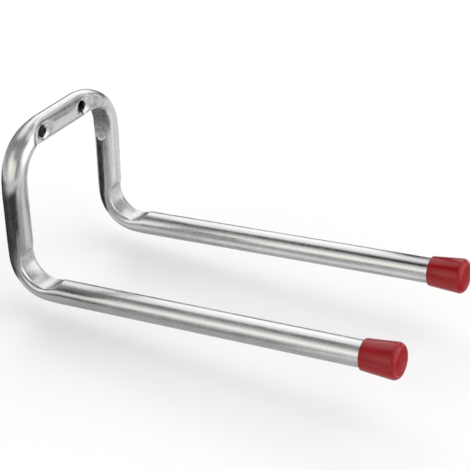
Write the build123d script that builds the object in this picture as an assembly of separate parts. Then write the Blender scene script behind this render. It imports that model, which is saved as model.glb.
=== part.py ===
from build123d import *
import math
import os

# Double wall hook: one bent steel tube with a soft cap on each arm end.
# Millimetres. X right, Y into the wall, Z up. The wall is the plane Y = 0 and
# the origin lies midway between the two screw holes.

# Tube
tube_diameter = 16.0
tube_wall = 1.5

# Crossbar, pressed flatter from the front and a little below the bends' middle
crossbar_half_height = 9.1
crossbar_half_depth = 6.55
crossbar_drop = 1.65
crossbar_wall_gap = 0.3
crossbar_bend_gap = 2.0

# Bent form, centre lines
arm_spacing = 100.6
leg_height = 97.8
arm_rise = 5.6
arm_length = 257.0

# Upper bends between crossbar and legs, flattened by the press
upper_bend_radius = 24.0
upper_half_depth = 6.2
upper_half_width = 8.7
upper_outward_shift = -0.9
upper_trough_level = 4.6

# Lower bends between legs and arms
lower_bend_radius = 20.2
lower_half_depth = 6.7
lower_half_width = 8.8
lower_outward_shift = 0.0
lower_trough_level = 3.6

# How the flattening runs out, and the crown of the former that dents each bend
bend_blend = 10.0
bend_sections = 11
former_crown_radius = 45.0

# Where the upper trough starts to run out towards the crossbar, and the angle of its end
former_run_out = 14.0
former_climb = 70.0

# Screw holes in their pressed dimples
hole_spacing = 42.4
hole_diameter = 8.0
dimple_diameter = 16.0
dimple_depth = 1.4

# Caps
cap_length = 23.0
cap_floor = 3.5
cap_mouth_diameter = 18.6
cap_end_diameter = 22.2
cap_end_rounding = 3.6
cap_lip_rounding = 0.6
cap_clearance = 0.05

tube_radius = tube_diameter / 2
axis_depth = -upper_half_width
crossbar_depth = -crossbar_half_depth - crossbar_wall_gap
rise = math.radians(arm_rise)
arm_direction = Vector(0, -math.cos(rise), math.sin(rise))
up = Vector(0, 0, 1)
sides = {"left": -1, "right": 1}


def upper_corner(side):
    return Vector(side * arm_spacing / 2, axis_depth, crossbar_drop)


def lower_corner(side):
    return Vector(side * arm_spacing / 2, axis_depth, crossbar_drop - leg_height)


class Bend:
    """One pressed bend of the tube between two straight directions."""

    def __init__(self, corner, along, leaving, form, end_section, end_shift, end_gap):
        radius, half_depth, half_width, outward_shift, trough_level = form
        self.end_section = end_section
        self.end_shift = end_shift
        self.end_gap = end_gap
        self.radius = radius
        self.half_depth = half_depth
        self.half_width = half_width
        self.outward_shift = outward_shift
        self.trough_level = trough_level
        self.along = along.normalized()
        self.leaving = leaving.normalized()
        self.angle = math.acos(self.along.dot(self.leaving))
        self.arc = radius * self.angle
        reach = radius * math.tan(self.angle / 2)
        self.start = corner - self.along * reach
        self.end = corner + self.leaving * reach
        inward = self.leaving - self.along * self.along.dot(self.leaving)
        self.inward = inward.normalized()
        self.centre = self.start + self.inward * radius

    def station(self, travel):
        """Plane across the tube at a distance from the start of the bend, X pointing outward."""
        turn = max(0.0, min(travel, self.arc)) / self.radius
        outward = self.inward * -math.cos(turn) + self.along * math.sin(turn)
        heading = self.along * math.cos(turn) + self.inward * math.sin(turn)
        origin = self.centre + outward * self.radius
        if travel < 0:
            origin = self.start + self.along * travel
        if travel > self.arc:
            origin = self.end + self.leaving * (travel - self.arc)
        return Plane(origin, x_dir=outward, z_dir=heading)

    def flattening(self, travel):
        """Share of the full flattening at a distance from the start of the bend."""
        near = min(travel + bend_blend, self.arc + self.end_gap - travel)
        share = max(0.0, min(1.0, near / (2 * bend_blend)))
        return share * share * (3 - 2 * share)

    def solid(self, inset):
        """The bend from one straight run to the next, its section drawn in by the inset."""
        length = bend_blend + self.arc + self.end_gap
        sections = []
        for step in range(bend_sections):
            travel = -bend_blend + length * step / (bend_sections - 1)
            share = self.flattening(travel)
            leaving = travel > self.arc / 2
            run = self.end_section if leaving else (tube_radius, tube_radius)
            shift = self.end_shift * (1 - share) if leaving else Vector(0, 0, 0)
            depth = run[0] + (self.half_depth - run[0]) * share - inset
            width = run[1] + (self.half_width - run[1]) * share - inset
            place = self.station(travel) * Pos(self.outward_shift * share, 0)
            sections.append(Pos(*shift) * (place * Ellipse(depth, width)))
        return loft(sections)

    def former(self, grow):
        """The crowned former that dents the inside of the bend, grown by the wall for the bore."""
        half_length = tube_radius + 4 * tube_wall
        sag = former_crown_radius - math.sqrt(former_crown_radius**2 - half_length**2)
        crown = grow - self.trough_level
        edge = crown - sag
        rim = ThreePointArc((edge, -half_length), (crown, 0), (edge, half_length))
        core = Polyline(
            (edge, half_length),
            (-self.radius, half_length),
            (-self.radius, -half_length),
            (edge, -half_length),
        )
        profile = make_face([rim, core])
        middle = self.station(self.arc / 2)
        former = revolve(middle * profile, Axis(self.centre, middle.y_dir), 360)
        if self.end_shift.length > 0:
            former -= self.clear_of_crossbar(grow)
        return former

    def clear_of_crossbar(self, grow):
        """The space past a sloping plane, where the former no longer reaches the tube."""
        place = self.station(self.arc - former_run_out)
        climb = math.radians(former_climb)
        slope = place.z_dir * math.sin(climb) + place.x_dir * math.cos(climb)
        start = place.origin - place.x_dir * self.trough_level
        plane = Plane(start, x_dir=place.y_dir, z_dir=slope)
        size = 6 * tube_diameter
        block = Box(size, size, size, align=(Align.CENTER, Align.CENTER, Align.MIN))
        return plane * Pos(0, 0, grow) * block


def bends():
    """The upper and lower bend of each side."""
    upper = (upper_bend_radius, upper_half_depth, upper_half_width, upper_outward_shift, upper_trough_level)
    lower = (lower_bend_radius, lower_half_depth, lower_half_width, lower_outward_shift, lower_trough_level)
    oval = (crossbar_half_height, crossbar_half_depth)
    oval_shift = Vector(0, crossbar_depth - axis_depth, -crossbar_drop)
    round_run = (tube_radius, tube_radius)
    level = Vector(0, 0, 0)
    return {
        side: (
            Bend(upper_corner(side), up, Vector(-side, 0, 0), upper, oval, oval_shift, crossbar_bend_gap),
            Bend(lower_corner(side), up * -1, arm_direction, lower, round_run, level, bend_blend),
        )
        for side in sides.values()
    }


def straight(start, end, radius):
    """A round straight run between two points."""
    run = end - start
    return extrude(Plane(start, z_dir=run.normalized()) * Circle(radius), run.length)


def crossbar(start, end, inset):
    """The oval run across the top."""
    run = end - start
    section = Ellipse(crossbar_half_height - inset, crossbar_half_depth - inset)
    return extrude(Plane(start, x_dir=(0, 0, 1), z_dir=run.normalized()) * section, run.length)


def dimple(x, grow):
    """The conical punch that dimples the front of the crossbar round a screw hole."""
    front = Plane((x, crossbar_depth - crossbar_half_depth, 0), x_dir=(1, 0, 0), z_dir=(0, 1, 0))
    lead = 1.0
    slope = (dimple_diameter - hole_diameter) / 2 / dimple_depth
    wide = dimple_diameter / 2 + slope * lead + grow
    narrow = hole_diameter / 2 + grow
    cone = Cone(wide, narrow, dimple_depth + lead, align=(Align.CENTER, Align.CENTER, Align.MIN))
    return front * Pos(0, 0, grow - lead) * cone


def tube_form(inset):
    """The bent tube as a full body, its skin drawn in by the inset."""
    radius = tube_radius - inset
    corners = bends()
    runs = []
    crossbar_ends = []
    for side, (upper, lower) in corners.items():
        arm_end = lower_corner(side) + arm_direction * arm_length
        leg_top = upper.start - upper.along * bend_blend
        leg_foot = lower.start - lower.along * bend_blend
        arm_start = lower.end + lower.leaving * bend_blend
        crossbar_ends.append(upper.end + upper.leaving * upper.end_gap + upper.end_shift)
        runs += [upper.solid(inset), straight(leg_foot, leg_top, radius)]
        runs += [lower.solid(inset), straight(arm_start, arm_end, radius)]
    form = crossbar(*crossbar_ends, inset)
    for run in runs:
        form += run
    for pair in corners.values():
        for bend in pair:
            form -= bend.former(inset)
    for x in (-hole_spacing / 2, hole_spacing / 2):
        form -= dimple(x, inset)
    return form


def build_tube():
    """The hook's tube with its bore and screw holes."""
    tube = tube_form(0) - tube_form(tube_wall)
    for x in (-hole_spacing / 2, hole_spacing / 2):
        drill = Plane((x, -2 * tube_diameter, 0), x_dir=(1, 0, 0), z_dir=(0, 1, 0))
        tube -= extrude(drill * Circle(hole_diameter / 2), 3 * tube_diameter)
    return tube


def build_cap(side):
    """A soft cap drawn over one arm end, thicker toward its closed end."""
    seat = lower_corner(side) + arm_direction * arm_length
    mouth = cap_floor - cap_length
    outline = make_face(
        Polyline(
            (0, mouth),
            (cap_mouth_diameter / 2, mouth),
            (cap_end_diameter / 2, cap_floor),
            (0, cap_floor),
            close=True,
        )
    )
    outer = outline.vertices().sort_by(Axis.X)[-2:].sort_by(Axis.Y)
    outline = fillet(outer[1], cap_end_rounding)
    lip = outline.vertices().sort_by(Axis.Y)[:2].sort_by(Axis.X)
    outline = fillet(lip[1], cap_lip_rounding)
    bore_radius = tube_radius + cap_clearance
    bore = Pos(bore_radius / 2, mouth / 2) * Rectangle(bore_radius, -mouth)
    turned = revolve(Plane.XZ * (outline - bore), Axis.Z, 360)
    return Plane(seat, x_dir=(1, 0, 0), z_dir=arm_direction) * turned


os.makedirs("parts", exist_ok=True)
export_step(build_tube(), "parts/hook_tube.step")
for name, side in sides.items():
    export_step(build_cap(side), f"parts/end_cap_{name}.step")
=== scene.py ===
"""Dresses the double wall hook: a pressed and bent zinc-plated tube with two red vinyl end caps."""

import logging
import math
from collections.abc import Callable
from dataclasses import dataclass, field
from enum import Enum
from functools import partial

import bmesh
import bpy
from mathutils import Matrix, Vector

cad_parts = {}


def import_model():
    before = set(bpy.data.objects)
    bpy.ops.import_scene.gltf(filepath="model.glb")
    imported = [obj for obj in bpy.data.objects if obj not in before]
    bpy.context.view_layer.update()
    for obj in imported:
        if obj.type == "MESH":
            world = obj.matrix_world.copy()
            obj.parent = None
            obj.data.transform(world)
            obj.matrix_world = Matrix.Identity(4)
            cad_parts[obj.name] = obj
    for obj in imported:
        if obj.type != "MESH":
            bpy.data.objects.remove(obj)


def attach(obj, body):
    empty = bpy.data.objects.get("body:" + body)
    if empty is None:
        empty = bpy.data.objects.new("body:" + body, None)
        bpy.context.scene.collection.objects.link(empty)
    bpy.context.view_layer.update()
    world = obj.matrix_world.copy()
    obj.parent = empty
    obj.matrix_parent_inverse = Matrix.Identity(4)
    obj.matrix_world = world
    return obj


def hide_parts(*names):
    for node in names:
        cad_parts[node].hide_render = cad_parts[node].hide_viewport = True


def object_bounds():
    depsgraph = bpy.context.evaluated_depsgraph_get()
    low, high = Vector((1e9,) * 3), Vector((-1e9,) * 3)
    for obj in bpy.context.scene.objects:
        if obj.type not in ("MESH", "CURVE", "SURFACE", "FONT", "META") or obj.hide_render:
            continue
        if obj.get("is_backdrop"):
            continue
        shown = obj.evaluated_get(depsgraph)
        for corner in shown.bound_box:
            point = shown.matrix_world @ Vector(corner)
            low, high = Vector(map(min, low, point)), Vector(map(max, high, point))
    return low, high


LOG = logging.getLogger("double_wall_hook")
MM = 0.001
UP = (0.0, 0.0, 1.0)
RIGHT = (1.0, 0.0, 0.0)
BACK = (0.0, 1.0, 0.0)
WHITE = (1.0, 1.0, 1.0)

# Attributes of the tube's points: the place on the tube laid out straight, and how hard it was pressed
STRAIGHT = "straightened"
PRESSED = "pressed"

# Edges sharper than this stay sharp when a piece is shaded smooth
SHARP_ANGLE = math.radians(40.0)

# How often the search for the surface of a die halves its range
PRESS_HALVINGS = 14

# The range that most of a noise's values lie in
NOISE_LOW = 0.3
NOISE_HIGH = 0.7

# How much the finer octaves of a noise count
NOISE_ROUGHNESS = 0.6

# Free height between the floor and the hook, in metres
FLOOR_GAP = 0.015

Triple = tuple[float, float, float]
Socket = bpy.types.NodeSocket


class Side(Enum):
    """The two mirrored halves of the hook, with the sign of their X."""

    LEFT = -1
    RIGHT = 1


def smooth_step(share: float) -> float:
    """Eases a share from 0 to 1."""
    share = max(0.0, min(1.0, share))
    return share * share * (3.0 - 2.0 * share)


def soft_min(a: float, b: float, rounding: float) -> float:
    """The lesser of two lengths, rounded off where they are nearly equal."""
    near = max(0.0, rounding - abs(a - b)) / rounding
    return min(a, b) - near * near * rounding / 4.0


def press(
    middle: Vector, aim: Vector, reach: float, rounding: float, bite: Callable[[Vector], float]
) -> float:
    """Draws a point of a section in towards the middle until it is out of a die.

    Args:
        middle: The section's middle.
        aim: Unit vector from the middle to the point.
        reach: The point's distance from the middle.
        rounding: Distance over which the edge of the dent is rounded.
        bite: How far a point is inside the die.

    Returns:
        The pressed distance from the section's middle.
    """
    low, high = 0.0, reach + rounding
    if bite(middle + aim * high) <= 0.0:
        return reach
    for _ in range(PRESS_HALVINGS):
        half = (low + high) / 2
        if bite(middle + aim * half) > 0.0:
            high = half
        else:
            low = half
    return soft_min(reach, low, rounding)


@dataclass(frozen=True)
class TroughEnd:
    """Where a trough starts to run out, past its end of the bend's arc, and its climb in degrees."""

    past: float
    climb: float


@dataclass(frozen=True)
class BendForm:
    """How a bend is bent, flattened and dented. Millimetres."""

    radius: float
    half_depth: float
    half_width: float
    outward_shift: float
    trough_level: float
    run_in: TroughEnd | None = None
    run_out: TroughEnd | None = None
    run_rounding: float = 1.6
    dulling: float = 1.0


@dataclass
class PressedBend:
    """One bend of the tube, flattened by the press and dented inside by the former.

    Lengths are in millimetres. The path comes along one straight run and leaves on the next.
    """

    corner: Vector
    along: Vector
    leaving: Vector
    form: BendForm
    end_section: tuple[float, float]
    end_shift: Vector
    end_gap: float
    blend: float = 10.0
    crown_radius: float = 45.0
    rim_rounding: float = 0.75

    def __post_init__(self) -> None:
        """Works out the arc's start, end, centre and axis, and where the former is cut off."""
        self.turn = self.along.angle(self.leaving)
        self.arc = self.form.radius * self.turn
        self.reach = self.form.radius * math.tan(self.turn / 2)
        self.start = self.corner - self.along * self.reach
        self.end = self.corner + self.leaving * self.reach
        inward = self.leaving - self.along * self.along.dot(self.leaving)
        self.inward = inward.normalized()
        self.centre = self.start + self.inward * self.form.radius
        self.axis = self.along.cross(self.inward).normalized()
        self.cuts: list[tuple[Vector, Vector, Vector]] = []
        if self.form.run_in:
            self.cuts.append(self.former_cut(self.form.run_in, 0.0, -1.0))
        if self.form.run_out:
            self.cuts.append(self.former_cut(self.form.run_out, self.arc, 1.0))

    def frame(self, travel: float) -> tuple[Vector, Vector]:
        """The centre line point and the outward direction at a distance from the bend's start.

        Args:
            travel: Distance along the path, negative before the bend starts.

        Returns:
            The point on the centre line and the unit vector away from the bend's axis.
        """
        turned = max(0.0, min(travel, self.arc)) / self.form.radius
        outward = self.inward * -math.cos(turned) + self.along * math.sin(turned)
        point = self.centre + outward * self.form.radius
        if travel < 0.0:
            point = self.start + self.along * travel
        if travel > self.arc:
            point = self.end + self.leaving * (travel - self.arc)
        return point, outward

    def flattening(self, travel: float) -> float:
        """Share of the full flattening at a distance from the bend's start."""
        near = min(travel + self.blend, self.arc + self.end_gap - travel)
        return smooth_step(near / (2.0 * self.blend))

    def section(self, travel: float, inset: float, radius: float) -> tuple[Vector, float, float]:
        """The flattened section at a distance from the bend's start.

        Args:
            travel: Distance along the path.
            inset: How far the skin is drawn in from the tube's outside.
            radius: Radius of the round tube.

        Returns:
            The section's middle, its half depth along the outward direction and its half width.
        """
        share = self.flattening(travel)
        point, outward = self.frame(travel)
        leaving = travel > self.arc / 2
        run = self.end_section if leaving else (radius, radius)
        depth = run[0] + (self.form.half_depth - run[0]) * share - inset
        width = run[1] + (self.form.half_width - run[1]) * share - inset
        middle = point + outward * self.form.outward_shift * share
        if leaving:
            middle += self.end_shift * (1.0 - share)
        return middle, depth, width

    def former_cut(self, end: TroughEnd, arc_end: float, sign: float) -> tuple[Vector, Vector, Vector]:
        """The sloping plane past which the former no longer reaches the tube.

        Args:
            end: How the trough runs out.
            arc_end: Distance of that end of the arc from the bend's start.
            sign: 1 where the path leaves the bend, -1 where it comes in.

        Returns:
            A point of the centre line, the step from the trough's level to it, and the plane's normal.
        """
        point, outward = self.frame(arc_end + end.past)
        climb = math.radians(end.climb)
        slope = self.axis.cross(outward) * sign * math.sin(climb) + outward * math.cos(climb)
        return point, outward * self.form.trough_level, slope

    def former_bite(self, spot: Vector, inset: float) -> float:
        """How far a point is inside the crowned former that dents the inside of the bend.

        Args:
            spot: The point, in millimetres.
            inset: How far the skin is drawn in from the tube's outside.

        Returns:
            The distance inside, negative outside.
        """
        from_centre = spot - self.centre
        side = from_centre.dot(self.axis)
        sag = self.crown_radius - math.sqrt(self.crown_radius**2 - side * side)
        crown = self.form.radius - self.form.trough_level + inset
        bite = crown - sag - (from_centre - self.axis * side).length
        for point, lift, slope in self.cuts:
            left = inset - (spot - point + lift).dot(slope)
            bite = soft_min(bite, left, self.form.run_rounding)
        return bite


@dataclass
class Walk:
    """A sweep in progress: the ring at its end and the rings it has passed."""

    bm: bmesh.types.BMesh
    layer: bmesh.types.BMLayerItem
    ring: list[bmesh.types.BMEdge]
    rings: list[tuple[PressedBend, float, list[bmesh.types.BMVert]]]
    length: float = 0.0

    def advance(self, made: list, bend: PressedBend, travel: float, step: float) -> None:
        """Takes the newly drawn ring as the end of the sweep.

        Args:
            made: The new geometry that an operator returned.
            bend: The bend that shapes the ring.
            travel: The ring's distance from that bend's start.
            step: Distance from the ring before.
        """
        self.length += step
        verts = [item for item in made if isinstance(item, bmesh.types.BMVert)]
        edges = [item for item in made if isinstance(item, bmesh.types.BMEdge)]
        kept = set(verts)
        self.ring = [edge for edge in edges if all(vert in kept for vert in edge.verts)]
        for vert in verts:
            vert[self.layer].x = self.length
        self.rings.append((bend, travel, verts))

    def run(self, bend: PressedBend, start: float, sign: int, places: list[float]) -> None:
        """Extrudes the ring along a straight run.

        Args:
            bend: The bend whose distances the run is measured in.
            start: Where the run starts, as a distance from the bend's start.
            sign: 1 along the bend's own direction, -1 against it.
            places: Distances of the rings from the run's start.
        """
        before = 0.0
        for place in places:
            made = bmesh.ops.extrude_edge_only(self.bm, edges=self.ring)["geom"]
            verts = [item for item in made if isinstance(item, bmesh.types.BMVert)]
            old, _ = bend.frame(start + sign * before)
            new, _ = bend.frame(start + sign * place)
            bmesh.ops.translate(self.bm, vec=new - old, verts=verts)
            self.advance(made, bend, start + sign * place, place - before)
            before = place

    def turn(self, bend: PressedBend, sign: int, step: float) -> None:
        """Spins the ring round a bend.

        Args:
            bend: The bend.
            sign: 1 along the bend's own direction, -1 against it.
            step: Spacing of the rings.
        """
        count = math.ceil(bend.arc / step)
        for i in range(count):
            made = bmesh.ops.spin(
                self.bm,
                geom=self.ring,
                cent=bend.centre,
                axis=bend.axis,
                angle=sign * bend.turn / count,
                steps=1,
                use_merge=False,
                use_duplicate=False,
            )["geom_last"]
            travel = bend.arc * ((i + 1) / count if sign > 0 else 1 - (i + 1) / count)
            self.advance(made, bend, travel, bend.arc / count)


@dataclass
class HookTube:
    """The bent tube, from the end of one arm round to the end of the other. Millimetres."""

    diameter: float = 16.0
    wall: float = 1.5
    arm_spacing: float = 100.6
    leg_height: float = 97.8
    arm_rise: float = 5.6
    arm_length: float = 257.0
    upper_form: BendForm = BendForm(
        radius=24.0,
        half_depth=6.2,
        half_width=8.7,
        outward_shift=-0.9,
        trough_level=4.6,
        run_out=TroughEnd(past=-16.0, climb=58.0),
        run_rounding=4.0,
        dulling=1.8,
    )
    lower_form: BendForm = BendForm(
        radius=20.2,
        half_depth=6.7,
        half_width=8.8,
        outward_shift=0.0,
        trough_level=3.6,
        run_in=TroughEnd(past=-2.5, climb=46.0),
        run_out=TroughEnd(past=6.5, climb=58.0),
        dulling=0.4,
    )
    crossbar_half_height: float = 9.1
    crossbar_half_depth: float = 6.55
    crossbar_drop: float = 1.65
    crossbar_wall_gap: float = 0.3
    crossbar_bend_gap: float = 8.0
    hole_spacing: float = 42.4
    hole_diameter: float = 8.0
    hole_segments: int = 64
    dimple_diameter: float = 18.0
    dimple_depth: float = 2.3
    dimple_bowl: float = 1.5
    dimple_rounding: float = 0.7
    dulled_depth: float = 0.8
    segments: int = 96
    fine_step: float = 0.7
    dimple_step: float = 0.5
    coarse_step: float = 12.0
    fine_zone: float = 16.0
    merge_distance: float = 0.01
    upper: PressedBend = field(init=False)
    lower: PressedBend = field(init=False)

    def __post_init__(self) -> None:
        """Lays out the left side's two bends."""
        rise = math.radians(self.arm_rise)
        self.arm_direction = Vector((0.0, -math.cos(rise), math.sin(rise)))
        self.depth = -self.upper_form.half_width
        self.crossbar_depth = -self.crossbar_half_depth - self.crossbar_wall_gap
        x = Side.LEFT.value * self.arm_spacing / 2
        self.upper = PressedBend(
            corner=Vector((x, self.depth, self.crossbar_drop)),
            along=Vector(UP),
            leaving=Vector(RIGHT),
            form=self.upper_form,
            end_section=(self.crossbar_half_height, self.crossbar_half_depth),
            end_shift=Vector((0.0, self.crossbar_depth - self.depth, -self.crossbar_drop)),
            end_gap=self.crossbar_bend_gap,
        )
        self.lower = PressedBend(
            corner=Vector((x, self.depth, self.crossbar_drop - self.leg_height)),
            along=-Vector(UP),
            leaving=self.arm_direction,
            form=self.lower_form,
            end_section=(self.diameter / 2, self.diameter / 2),
            end_shift=Vector(),
            end_gap=self.upper.blend,
        )

    def arm_end(self, side: Side) -> Vector:
        """Middle of the tube's end on one arm."""
        foot = self.lower.corner
        return Vector((side.value * abs(foot.x), foot.y, foot.z)) + self.arm_direction * self.arm_length

    def stations(self, length: float, fine_start: bool, fine_end: bool, step: float) -> list[float]:
        """Distances along a straight run where rings of vertices go.

        Args:
            length: Length of the run.
            fine_start: Whether the run starts at a bend and needs close rings there.
            fine_end: Whether the run ends at a bend and needs close rings there.
            step: Spacing of the close rings.

        Returns:
            The distances from the run's start, the last one being the run's end.
        """
        head = min(self.fine_zone, length / 2) if fine_start else 0.0
        tail = min(self.fine_zone, length / 2) if fine_end else 0.0
        hair = 1e-6
        places: list[float] = []
        for start, stop, size in (
            (0.0, head, step),
            (head, length - tail, self.coarse_step),
            (length - tail, length, step),
        ):
            count = math.ceil((stop - start) / size - hair)
            places += [start + (stop - start) * (i + 1) / count for i in range(count)]
        return places

    def sweep(self, radius: float, segments: int, step: float) -> Walk:
        """Sweeps a plain round skin from the left arm's end to the middle of the crossbar.

        Args:
            radius: The skin's radius.
            segments: Number of vertices round the tube.
            step: Spacing of the rings in the bends.

        Returns:
            The finished sweep, with its open skin and its rings.
        """
        upper, lower = self.upper, self.lower
        bm = bmesh.new()
        layer = bm.verts.layers.float_vector.new(STRAIGHT)
        bm.verts.layers.float.new(PRESSED)
        start = self.arm_end(Side.LEFT)
        turned = Vector(UP).rotation_difference(-self.arm_direction).to_matrix().to_4x4()
        verts = bmesh.ops.create_circle(
            bm,
            cap_ends=False,
            segments=segments,
            radius=radius,
            matrix=Matrix.Translation(start) @ turned,
        )["verts"]
        for vert in verts:
            local = turned.inverted() @ (vert.co - start)
            vert[layer] = Vector((0.0, local.x, local.y))
        arm = self.arm_length - lower.reach
        leg = self.leg_height - upper.reach - lower.reach
        half_bar = self.arm_spacing / 2 - upper.reach
        walk = Walk(bm, layer, bm.edges[:], [(lower, lower.arc + arm, verts)])
        walk.run(lower, lower.arc + arm, -1, self.stations(arm, False, True, step))
        walk.turn(lower, -1, step)
        walk.run(lower, 0.0, -1, self.stations(leg / 2, True, False, step))
        walk.run(upper, -leg / 2, 1, self.stations(leg / 2, False, True, step))
        walk.turn(upper, 1, step)
        walk.run(upper, upper.arc, 1, self.stations(half_bar, True, True, self.dimple_step))
        return walk

    def skin(self, inset: float, segments: int, step: float) -> bmesh.types.BMesh:
        """Draws one skin of the tube along the bent path, presses its bends and mirrors it.

        Args:
            inset: How far the skin lies inside the tube's outside.
            segments: Number of vertices round the tube.
            step: Spacing of the rings in the bends.

        Returns:
            The open skin, in millimetres.
        """
        walk = self.sweep(self.diameter / 2 - inset, segments, step)
        bm, layer = walk.bm, walk.layer
        dulled = bm.verts.layers.float[PRESSED]
        for bend, travel, ring in walk.rings:
            self.press_ring(bend, travel, ring, inset, dulled)
        drawn = set(bm.verts)
        bmesh.ops.mirror(
            bm,
            geom=bm.verts[:] + bm.edges[:] + bm.faces[:],
            merge_dist=self.merge_distance,
            axis="X",
        )
        for vert in bm.verts:
            if vert not in drawn:
                vert[layer].x = 2 * walk.length - vert[layer].x
        bmesh.ops.recalc_face_normals(bm, faces=bm.faces)
        return bm

    def press_ring(
        self,
        bend: PressedBend,
        travel: float,
        ring: list[bmesh.types.BMVert],
        inset: float,
        dulled: bmesh.types.BMLayerItem,
    ) -> None:
        """Flattens one ring, dents it by the former and dimples it round a screw hole.

        Args:
            bend: The bend that shapes the ring.
            travel: The ring's distance from that bend's start.
            ring: The ring's vertices, still round.
            inset: How far the skin lies inside the tube's outside.
            dulled: The layer that takes how hard each vertex was pressed.
        """
        round_radius = self.diameter / 2
        point, outward = bend.frame(travel)
        middle, depth, width = bend.section(travel, inset, round_radius)
        former = partial(bend.former_bite, inset=inset)
        punch = partial(self.dimple_bite, inset=inset)
        on_crossbar = bend is self.upper and travel > bend.arc / 2
        for vert in ring:
            offset = (vert.co - point) / (round_radius - inset)
            out, side = offset.dot(outward) * depth, offset.dot(bend.axis) * width
            aim = outward * out + bend.axis * side
            reach = aim.length
            aim /= reach
            if out < 0.0:
                free = reach
                reach = press(middle, aim, reach, bend.rim_rounding, former)
                vert[dulled] = bend.form.dulling * smooth_step((free - reach) / self.dulled_depth)
            if on_crossbar and side < 0.0:
                reach = press(middle, aim, reach, self.dimple_rounding, punch)
            vert.co = middle + aim * reach

    def dimple_bite(self, spot: Vector, inset: float) -> float:
        """How far a point is inside the punch that dimples the crossbar round a screw hole.

        Args:
            spot: The point, in millimetres.
            inset: How far the skin lies inside the tube's outside.

        Returns:
            The distance inside, negative outside.
        """
        width = (self.dimple_diameter - self.hole_diameter) / 2
        away = math.hypot(spot.x + self.hole_spacing / 2, spot.z)
        past = max(0.0, away - self.hole_diameter / 2 - inset) / width
        front = self.crossbar_depth - self.crossbar_half_depth
        fall = math.copysign(abs(1.0 - past) ** self.dimple_bowl, 1.0 - past)
        return front + inset + self.dimple_depth * fall - spot.y

    def drills(self) -> bmesh.types.BMesh:
        """Makes the two straight drills for the screw holes.

        Returns:
            The drills, in metres.
        """
        bm = bmesh.new()
        lay = Matrix.Rotation(math.radians(90.0), 4, "X")
        for x in (-self.hole_spacing / 2, self.hole_spacing / 2):
            bmesh.ops.create_cone(
                bm,
                cap_ends=True,
                segments=self.hole_segments,
                radius1=self.hole_diameter / 2 * MM,
                radius2=self.hole_diameter / 2 * MM,
                depth=3 * self.diameter * MM,
                matrix=Matrix.Translation(Vector((x, self.depth, 0.0)) * MM) @ lay,
            )
        return bm

    def build(self) -> bpy.types.Object:
        """Makes the tube's mesh with both skins, joins them at the arm ends and cuts the screw holes.

        Returns:
            The finished object, at the origin, in metres.
        """
        bm = self.skin(0.0, self.segments, self.fine_step)
        bore = self.skin(self.wall, self.segments // 2, self.fine_step * 2)
        bmesh.ops.reverse_faces(bore, faces=bore.faces)
        inside = bpy.data.meshes.new("bore")
        bore.to_mesh(inside)
        bore.free()
        bm.from_mesh(inside)
        bpy.data.meshes.remove(inside)
        rims = [edge for edge in bm.edges if edge.is_boundary]
        for side in Side:
            rim = [edge for edge in rims if edge.verts[0].co.x * side.value > 0]
            bmesh.ops.bridge_loops(bm, edges=rim)
        bmesh.ops.scale(bm, vec=(MM, MM, MM), verts=bm.verts)
        tube = new_object("hook_tube_pressed", bm)
        drill = new_object("drill", self.drills())
        cut = tube.modifiers.new("screw_holes", "BOOLEAN")
        cut.operation = "DIFFERENCE"
        cut.solver = "EXACT"
        cut.object = drill
        bake_modifiers(tube)
        bpy.data.objects.remove(drill)
        shade_smooth(tube)
        return tube

    def dress(self, finish: bpy.types.Material) -> bpy.types.Object:
        """Builds the tube, gives it its finish and sets it in the frame.

        Args:
            finish: The tube's material.

        Returns:
            The dressed tube.
        """
        tube = self.build()
        tube.data.materials.append(finish)
        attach(tube, "root")
        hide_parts("hook_tube")
        return tube


def new_object(name: str, bm: bmesh.types.BMesh) -> bpy.types.Object:
    """Turns a finished bmesh into an object at the origin.

    Args:
        name: The object's name.
        bm: The mesh, which is freed.

    Returns:
        The linked object.
    """
    mesh = bpy.data.meshes.new(name)
    bm.to_mesh(mesh)
    bm.free()
    made = bpy.data.objects.new(name, mesh)
    bpy.context.scene.collection.objects.link(made)
    return made


def bake_modifiers(piece: bpy.types.Object) -> None:
    """Replaces a piece's mesh by the result of its modifiers.

    Args:
        piece: The piece, which keeps no modifier.
    """
    bpy.context.view_layer.update()
    graph = bpy.context.evaluated_depsgraph_get()
    mesh = bpy.data.meshes.new_from_object(piece.evaluated_get(graph), depsgraph=graph)
    old = piece.data
    piece.modifiers.clear()
    piece.data = mesh
    mesh.name = piece.name
    bpy.data.meshes.remove(old)


def shade_smooth(piece: bpy.types.Object) -> None:
    """Shades a piece smooth, apart from its sharp edges."""
    piece.data.shade_smooth()
    piece.data.set_sharp_from_angle(angle=SHARP_ANGLE)


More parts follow.
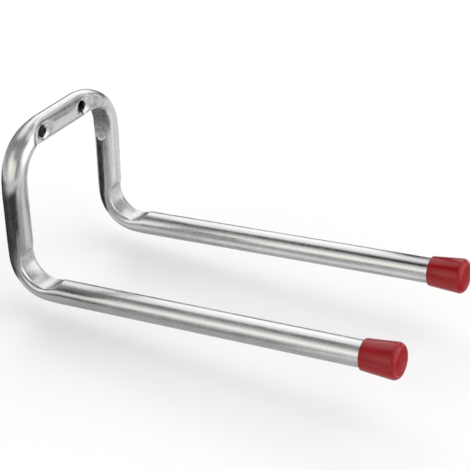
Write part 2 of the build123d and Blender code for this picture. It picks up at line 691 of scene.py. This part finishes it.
@dataclass
class EndCap:
    """A soft cap over one arm end, thicker towards its closed end. Millimetres."""

    side: Side
    seat: Vector
    direction: Vector
    bore_radius: float = 8.05
    length: float = 23.0
    floor: float = 3.5
    mouth_radius: float = 9.3
    end_radius: float = 11.1
    end_rounding: float = 3.6
    end_segments: int = 10
    lip_rounding: float = 0.6
    lip_segments: int = 4
    steps: int = 96
    merge_distance: float = 0.001

    def profile(self) -> bmesh.types.BMesh:
        """Draws half of the cap's section and rounds its end and its lip.

        Returns:
            The open profile, in the plane of X and Z, with the tube's end at the origin.
        """
        mouth = self.floor - self.length
        bm = bmesh.new()
        outline = [
            (0.0, 0.0),
            (self.bore_radius, 0.0),
            (self.bore_radius, mouth),
            (self.mouth_radius, mouth),
            (self.end_radius, self.floor),
            (0.0, self.floor),
        ]
        verts = [bm.verts.new((x, 0.0, z)) for x, z in outline]
        for a, b in zip(verts, verts[1:]):
            bm.edges.new((a, b))
        lip, end = verts[3], verts[4]
        for vert, rounding, segments in (
            (end, self.end_rounding, self.end_segments),
            (lip, self.lip_rounding, self.lip_segments),
        ):
            before, after = (edge.other_vert(vert).co - vert.co for edge in vert.link_edges)
            bmesh.ops.bevel(
                bm,
                geom=[vert],
                offset=rounding / math.tan(before.angle(after) / 2),
                segments=segments,
                profile=0.5,
                affect="VERTICES",
                material=-1,
            )
        return bm

    def build(self) -> bpy.types.Object:
        """Spins the cap's profile and sets it on its arm.

        Returns:
            The finished object, at the origin, in metres.
        """
        bm = self.profile()
        bmesh.ops.spin(
            bm,
            geom=bm.verts[:] + bm.edges[:],
            cent=(0.0, 0.0, 0.0),
            axis=UP,
            angle=math.tau,
            steps=self.steps,
            use_merge=True,
        )
        bmesh.ops.remove_doubles(bm, verts=bm.verts, dist=self.merge_distance)
        bmesh.ops.recalc_face_normals(bm, faces=bm.faces)
        turn = Vector(UP).rotation_difference(self.direction).to_matrix().to_4x4()
        place = Matrix.Scale(MM, 4) @ Matrix.Translation(self.seat) @ turn
        bmesh.ops.transform(bm, matrix=place, verts=bm.verts)
        cap = new_object(f"vinyl_cap_{self.side.name.lower()}", bm)
        shade_smooth(cap)
        return cap

    def dress(self, finish: bpy.types.Material) -> bpy.types.Object:
        """Builds the cap, gives it its finish and sets it in the frame.

        Args:
            finish: The cap's material.

        Returns:
            The dressed cap.
        """
        cap = self.build()
        cap.data.materials.append(finish)
        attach(cap, "root")
        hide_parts(f"end_cap_{self.side.name.lower()}")
        return cap


class NodeChain:
    """Adds shader nodes to a tree and links them in one line each."""

    def __init__(self, tree: bpy.types.NodeTree) -> None:
        """Starts from an empty tree."""
        self.tree = tree
        tree.nodes.clear()

    def add(self, kind: str, inputs: dict | None = None, **settings: object) -> bpy.types.Node:
        """Adds one node.

        Args:
            kind: The node's type name.
            inputs: Values or output sockets for the node's inputs, by name or index.
            settings: Attributes of the node.

        Returns:
            The new node.
        """
        node = self.tree.nodes.new(kind)
        for name, value in settings.items():
            setattr(node, name, value)
        for key, value in (inputs or {}).items():
            if isinstance(value, Socket):
                self.tree.links.new(value, node.inputs[key])
            else:
                node.inputs[key].default_value = value
        return node

    def math(self, operation: str, *values: object) -> Socket:
        """One arithmetic step on numbers or sockets."""
        node = self.add("ShaderNodeMath", dict(enumerate(values)), operation=operation)
        return node.outputs[0]

    def noise(self, coords: Socket, stretch: Triple, scale: float, detail: float) -> Socket:
        """Noise on stretched coordinates, from 0 to 1.

        Args:
            coords: Where the noise is read.
            stretch: Factors on the three coordinates.
            scale: Scale of the noise.
            detail: Octaves of the noise.

        Returns:
            The noise's value.
        """
        placed = self.add("ShaderNodeMapping", {"Vector": coords, "Scale": stretch})
        node = self.add(
            "ShaderNodeTexNoise",
            {
                "Vector": placed.outputs[0],
                "Scale": scale,
                "Detail": detail,
                "Roughness": NOISE_ROUGHNESS,
            },
        )
        return node.outputs[0]

    def spread(
        self,
        value: Socket,
        out_low: float,
        out_high: float,
        low: float = NOISE_LOW,
        high: float = NOISE_HIGH,
    ) -> Socket:
        """Maps a range of values to another, clamped.

        Args:
            value: The value to map.
            out_low: The result at the low end.
            out_high: The result at the high end.
            low: The low end of the values.
            high: The high end of the values.

        Returns:
            The mapped value.
        """
        node = self.add(
            "ShaderNodeMapRange",
            {"Value": value, "From Min": low, "From Max": high, "To Min": out_low, "To Max": out_high},
        )
        return node.outputs[0]

    def tint(self, colour: Triple, tone: Socket) -> Socket:
        """A colour made lighter or darker by a factor."""
        node = self.add("ShaderNodeVectorMath", {0: colour, "Scale": tone}, operation="SCALE")
        return node.outputs[0]

    def bump(self, height: Socket, strength: float, distance: float) -> Socket:
        """A surface normal raised by a height."""
        node = self.add("ShaderNodeBump", {"Strength": strength, "Distance": distance, "Height": height})
        return node.outputs[0]


def new_material(name: str) -> tuple[bpy.types.Material, NodeChain]:
    """Starts a material from an empty tree.

    Args:
        name: The material's name.

    Returns:
        The material and the chain that adds its nodes.
    """
    material = bpy.data.materials.new(name)
    material.use_nodes = True
    return material, NodeChain(material.node_tree)


@dataclass(frozen=True)
class ZincPlate:
    """Bright zinc plate on drawn tube: fine lines along it, faint clouding and dull pressed patches."""

    name: str = "zinc_plate"
    colour: Triple = (0.55, 0.553, 0.557)
    roughness: float = 0.22
    line_stretch: Triple = (0.018, 0.6, 0.6)
    fine_stretch: Triple = (0.05, 4.0, 4.0)
    cloud_stretch: Triple = (0.1, 0.16, 0.16)
    mottle_stretch: Triple = (0.5, 0.6, 0.6)
    line_share: float = 0.6
    fine_share: float = 0.4
    streak_tone: float = 0.2
    cloud_tone: float = 0.06
    spot_tone: float = 0.2
    pressed_tone: float = -0.14
    streak_roughness: tuple[float, float] = (-0.06, 0.16)
    cloud_roughness: tuple[float, float] = (-0.02, 0.05)
    pressed_roughness: float = 0.18
    rough_from: float = 0.35
    spot_height: float = 0.5
    bump_strength: float = 0.12
    bump_distance: float = 0.0003

    def build(self) -> bpy.types.Material:
        """Makes the material.

        Returns:
            The material, which reads the tube's own attributes.
        """
        material, chain = new_material(self.name)
        place = chain.add("ShaderNodeAttribute", attribute_name=STRAIGHT).outputs["Vector"]
        pressed = chain.add("ShaderNodeAttribute", attribute_name=PRESSED).outputs["Fac"]
        lines = chain.noise(place, self.line_stretch, scale=1.0, detail=4.0)
        fine = chain.noise(place, self.fine_stretch, scale=1.0, detail=2.0)
        cloud = chain.noise(place, self.cloud_stretch, scale=1.0, detail=4.0)
        mottle = chain.noise(place, self.mottle_stretch, scale=1.0, detail=5.0)
        streak = chain.math(
            "ADD",
            chain.math("MULTIPLY", lines, self.line_share),
            chain.math("MULTIPLY", fine, self.fine_share),
        )
        spots = chain.math("MULTIPLY", chain.spread(mottle, -1.0, 1.0), pressed)
        tone = chain.math(
            "ADD",
            chain.spread(streak, -self.streak_tone, self.streak_tone),
            chain.spread(cloud, -self.cloud_tone, self.cloud_tone),
        )
        tone = chain.math("MULTIPLY_ADD", spots, self.spot_tone, tone)
        tone = chain.math("MULTIPLY_ADD", pressed, self.pressed_tone, tone)
        smooth, rough = (self.roughness + step for step in self.streak_roughness)
        roughness = chain.math(
            "ADD",
            chain.spread(streak, smooth, rough, low=self.rough_from),
            chain.spread(cloud, *self.cloud_roughness, low=self.rough_from),
        )
        roughness = chain.math("MULTIPLY_ADD", pressed, self.pressed_roughness, roughness)
        height = chain.math("MULTIPLY_ADD", spots, self.spot_height, streak)
        shader = chain.add(
            "ShaderNodeBsdfPrincipled",
            {
                "Base Color": chain.tint(self.colour, chain.math("ADD", tone, 1.0)),
                "Metallic": 1.0,
                "Roughness": roughness,
                "Normal": chain.bump(height, self.bump_strength, self.bump_distance),
            },
        )
        chain.add("ShaderNodeOutputMaterial", {"Surface": shader.outputs[0]})
        return material


@dataclass(frozen=True)
class RedVinyl:
    """Dipped soft vinyl: semi-gloss red with faint handling marks and a fine orange-peel skin."""

    name: str = "red_vinyl"
    colour: Triple = (0.29, 0.005, 0.009)
    roughness: float = 0.23
    specular: float = 0.32
    cloud_scale: float = 90.0
    skin_scale: float = 900.0
    cloud_tone: tuple[float, float] = (0.88, 1.1)
    cloud_roughness: tuple[float, float] = (-0.05, 0.07)
    bump_strength: float = 0.05
    bump_distance: float = 0.0002

    def build(self) -> bpy.types.Material:
        """Makes the material.

        Returns:
            The material, which reads Object coordinates.
        """
        material, chain = new_material(self.name)
        place = chain.add("ShaderNodeTexCoord").outputs["Object"]
        even = (1.0, 1.0, 1.0)
        cloud = chain.noise(place, even, self.cloud_scale, detail=4.0)
        skin = chain.noise(place, even, self.skin_scale, detail=2.0)
        smooth, rough = (self.roughness + step for step in self.cloud_roughness)
        shader = chain.add(
            "ShaderNodeBsdfPrincipled",
            {
                "Base Color": chain.tint(self.colour, chain.spread(cloud, *self.cloud_tone)),
                "Roughness": chain.spread(cloud, smooth, rough),
                "Specular IOR Level": self.specular,
                "Normal": chain.bump(skin, self.bump_strength, self.bump_distance),
            },
        )
        chain.add("ShaderNodeOutputMaterial", {"Surface": shader.outputs[0]})
        return material


@dataclass(frozen=True)
class SoftBox:
    """A soft source in the studio's surroundings, by direction from the object, in degrees."""

    azimuth: float
    elevation: float
    reach: float
    edge: float
    strength: float
    colour: Triple = WHITE

    def direction(self) -> Vector:
        """Unit vector towards the source; azimuth 0 is in front and 90 to the right."""
        a, e = math.radians(self.azimuth), math.radians(self.elevation)
        return Vector((math.sin(a) * math.cos(e), -math.cos(a) * math.cos(e), math.sin(e)))

    def glow(self, chain: NodeChain, look: Socket) -> Socket:
        """Adds the source's light in a direction.

        Args:
            chain: The world's nodes.
            look: The direction that is looked in.

        Returns:
            The light's colour.
        """
        facing = chain.add("ShaderNodeVectorMath", {0: look, 1: self.direction()}, operation="DOT_PRODUCT")
        inside = chain.add(
            "ShaderNodeMapRange",
            {
                "Value": facing.outputs["Value"],
                "From Min": math.cos(math.radians(self.reach + self.edge)),
                "From Max": math.cos(math.radians(self.reach)),
            },
            interpolation_type="SMOOTHSTEP",
        )
        return chain.tint(self.colour, chain.math("MULTIPLY", inside.outputs[0], self.strength))


@dataclass(frozen=True)
class Card:
    """A plain card out of the picture, which only shiny surfaces mirror. Metres."""

    name: str
    centre: Triple
    width: float
    height: float
    tone: float = 0.0
    facing: Triple | None = None
    glow: float = 0.0
    one_sided: bool = False

    def build(self) -> None:
        """Makes the card, turned as it is set or else to face the object."""
        facing = Vector(self.facing) if self.facing else -Vector(self.centre)
        pose = facing.to_track_quat("Z", "Y").to_matrix().to_4x4()
        pose.translation = self.centre
        bm = bmesh.new()
        bmesh.ops.create_grid(bm, x_segments=1, y_segments=1, size=0.5)
        bmesh.ops.scale(bm, vec=(self.width, self.height, 1.0), verts=bm.verts)
        bmesh.ops.transform(bm, matrix=pose, verts=bm.verts)
        card = new_object(self.name, bm)
        card.data.materials.append(self.finish())
        card.visible_camera = False
        card.visible_diffuse = False
        card.visible_shadow = False
        card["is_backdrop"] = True

    def finish(self) -> bpy.types.Material:
        """Makes the card's plain or glowing material.

        Returns:
            The material, clear from behind on a one-sided card.
        """
        material, chain = new_material(self.name)
        if self.glow > 0.0:
            surface = chain.add("ShaderNodeEmission", {"Strength": self.glow})
        else:
            surface = chain.add("ShaderNodeBsdfDiffuse", {"Color": (self.tone, self.tone, self.tone, 1.0)})
        if self.one_sided:
            behind = chain.add("ShaderNodeNewGeometry").outputs["Backfacing"]
            clear = chain.add("ShaderNodeBsdfTransparent")
            sides = {0: behind, 1: surface.outputs[0], 2: clear.outputs[0]}
            surface = chain.add("ShaderNodeMixShader", sides)
        chain.add("ShaderNodeOutputMaterial", {"Surface": surface.outputs[0]})
        return material


@dataclass(frozen=True)
class PhotoCamera:
    """The camera at the photograph's view. Its place and lens are in millimetres."""

    place: Triple = (-604.787, -475.789, 346.842)
    right: Triple = (0.485019, -0.874438, -0.010707)
    up: Triple = (0.439959, 0.233411, 0.867153)
    back: Triple = (-0.755773, -0.425297, 0.497926)
    lens: float = 100.1424
    sensor: float = 36.0

    def build(self) -> None:
        """Makes the camera and looks through it."""
        data = bpy.data.cameras.new("camera")
        data.sensor_width = self.sensor
        data.lens = self.lens
        camera = bpy.data.objects.new("camera", data)
        pose = Matrix((self.right, self.up, self.back)).transposed().to_4x4()
        pose.translation = Vector(self.place) * MM
        camera.matrix_world = pose
        bpy.context.scene.collection.objects.link(camera)
        bpy.context.scene.camera = camera


@dataclass(frozen=True)
class Studio:
    """Plain pale floor, soft surroundings and the cards that the tube mirrors."""

    floor_height: float
    floor_size: float = 12.0
    floor_tone: float = 0.96
    room: Triple = (0.42, 0.42, 0.425)
    boxes: tuple[SoftBox, ...] = (
        SoftBox(114.0, 30.0, 13.0, 13.0, 1.95),
        SoftBox(133.0, 44.0, 9.0, 12.0, 1.75),
        SoftBox(155.0, 54.0, 11.0, 12.0, 1.5),
        SoftBox(85.0, 43.0, 5.0, 9.0, 1.9),
        SoftBox(-120.0, 18.0, 6.0, 14.0, 1.8, (1.0, 0.98, 0.92)),
        SoftBox(-100.0, 12.0, 14.0, 12.0, 1.45, (1.0, 0.97, 0.9)),
        SoftBox(-128.0, 32.0, 5.0, 12.0, 1.2, (1.0, 0.99, 0.96)),
        SoftBox(8.0, 26.0, 32.0, 26.0, 1.95),
        SoftBox(10.0, 68.0, 18.0, 14.0, 1.2),
    )
    card_lift: float = 0.002
    black: float = 0.03
    deep: float = 0.07
    dark: float = 0.1
    grey: float = 0.3
    mid: float = 0.42
    # Tone of the cards that paint the arms' shadow on the floor, as seen in reflections
    pale: float = 0.68

    def build(self) -> None:
        """Makes the floor, the surroundings and the cards."""
        self.make_floor()
        self.make_world()
        for card in self.hung_cards() + self.laid_cards():
            card.build()

    def hung_cards(self) -> tuple[Card, ...]:
        """The cards that stand or hang round the hook.

        Returns:
            The cards.
        """
        return (
            Card("card_front_right", (0.18, -0.16, 0.06), 0.08, 0.2, self.dark),
            Card("card_back_right", (0.75, 0.55, 0.03), 1.3, 0.3, self.black),
            Card("card_overhead", (-0.115, 0.085, 0.24), 0.12, 0.5, self.grey, UP),
            Card("card_arm", (0.03, -0.165, -0.022), 0.19, 0.05, facing=RIGHT, one_sided=True),
            Card("card_arm_root", (0.038, -0.06, -0.052), 0.05, 0.03, facing=RIGHT, one_sided=True),
            Card("card_leg", (-0.087, -0.018, -0.053), 0.052, 0.042, self.deep, RIGHT, one_sided=True),
            Card("card_leg_glow", (0.042, -0.045, -0.055), 0.026, 0.05, 0.0, BACK, 1.25, one_sided=True),
        )

    def laid_cards(self) -> tuple[Card, ...]:
        """The cards that lie just above the floor.

        Returns:
            The cards.
        """
        level = self.floor_height + self.card_lift
        return (
            Card("card_left", (-0.265, 0.2, level), 0.3, 0.44, self.deep, UP),
            Card("card_left_front", (-0.2, -0.1, level), 0.22, 0.16, self.mid, UP),
            Card("card_behind", (-0.05, 0.27, level), 0.22, 0.5, self.black, UP),
            Card("card_right", (0.25, 0.09, level), 0.14, 0.16, self.black, UP),
            Card("card_front", (0.1, -0.36, level), 0.24, 0.14, self.dark, UP),
            # Painted shade: pale grey cards under the arms stand in for the arms' shadow on the floor,
            # seen only in reflections
            Card("painted_shade_under_left", (-0.055, -0.14, level), 0.1, 0.3, self.pale, UP),
            Card("painted_shade_under_right", (0.065, -0.14, level), 0.07, 0.3, self.pale, UP),
            Card("card_between", (0.0, -0.15, level), 0.05, 0.16, facing=UP, glow=1.1),
        )

    def make_floor(self) -> None:
        """Lays a plain pale floor that keeps the object's shadow."""
        bm = bmesh.new()
        place = Matrix.Translation((0.0, 0.0, self.floor_height))
        bmesh.ops.create_grid(bm, x_segments=1, y_segments=1, size=self.floor_size, matrix=place)
        floor = new_object("floor", bm)
        material, chain = new_material("pale_floor")
        tone = self.floor_tone
        plain = chain.add("ShaderNodeBsdfDiffuse", {"Color": (tone, tone, tone, 1.0)})
        chain.add("ShaderNodeOutputMaterial", {"Surface": plain.outputs[0]})
        floor.data.materials.append(material)
        floor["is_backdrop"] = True

    def make_world(self) -> None:
        """Surrounds the set with a pale room and its soft sources, plain white to the camera."""
        world = bpy.data.worlds.new("studio")
        world.use_nodes = True
        chain = NodeChain(world.node_tree)
        look = chain.add("ShaderNodeTexCoord").outputs["Generated"]
        light: Socket | Triple = self.room
        for box in self.boxes:
            both = {0: light, 1: box.glow(chain, look)}
            light = chain.add("ShaderNodeVectorMath", both, operation="MAXIMUM").outputs[0]
        lit = chain.add("ShaderNodeBackground", {"Color": light})
        plain = chain.add("ShaderNodeBackground", {"Color": (*WHITE, 1.0)})
        seen = chain.add("ShaderNodeLightPath").outputs["Is Camera Ray"]
        shown = chain.add("ShaderNodeMixShader", {0: seen, 1: lit.outputs[0], 2: plain.outputs[0]})
        chain.add("ShaderNodeOutputWorld", {"Surface": shown.outputs[0]})
        bpy.context.scene.world = world


def main() -> None:
    """Builds the dressed hook, its studio and its camera."""
    logging.basicConfig(level=logging.INFO, format="%(name)s: %(message)s")
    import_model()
    cad_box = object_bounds()
    hook = HookTube()
    tube = hook.dress(ZincPlate().build())
    LOG.info("%s has %d faces", tube.name, len(tube.data.polygons))
    vinyl = RedVinyl().build()
    for side in Side:
        cap = EndCap(side, hook.arm_end(side), hook.arm_direction).dress(vinyl)
        LOG.info("%s has %d faces", cap.name, len(cap.data.polygons))
    Studio(cad_box[0].z - FLOOR_GAP).build()
    PhotoCamera().build()
    bpy.context.scene.view_settings.view_transform = "Standard"


if __name__ == "__main__":
    main()
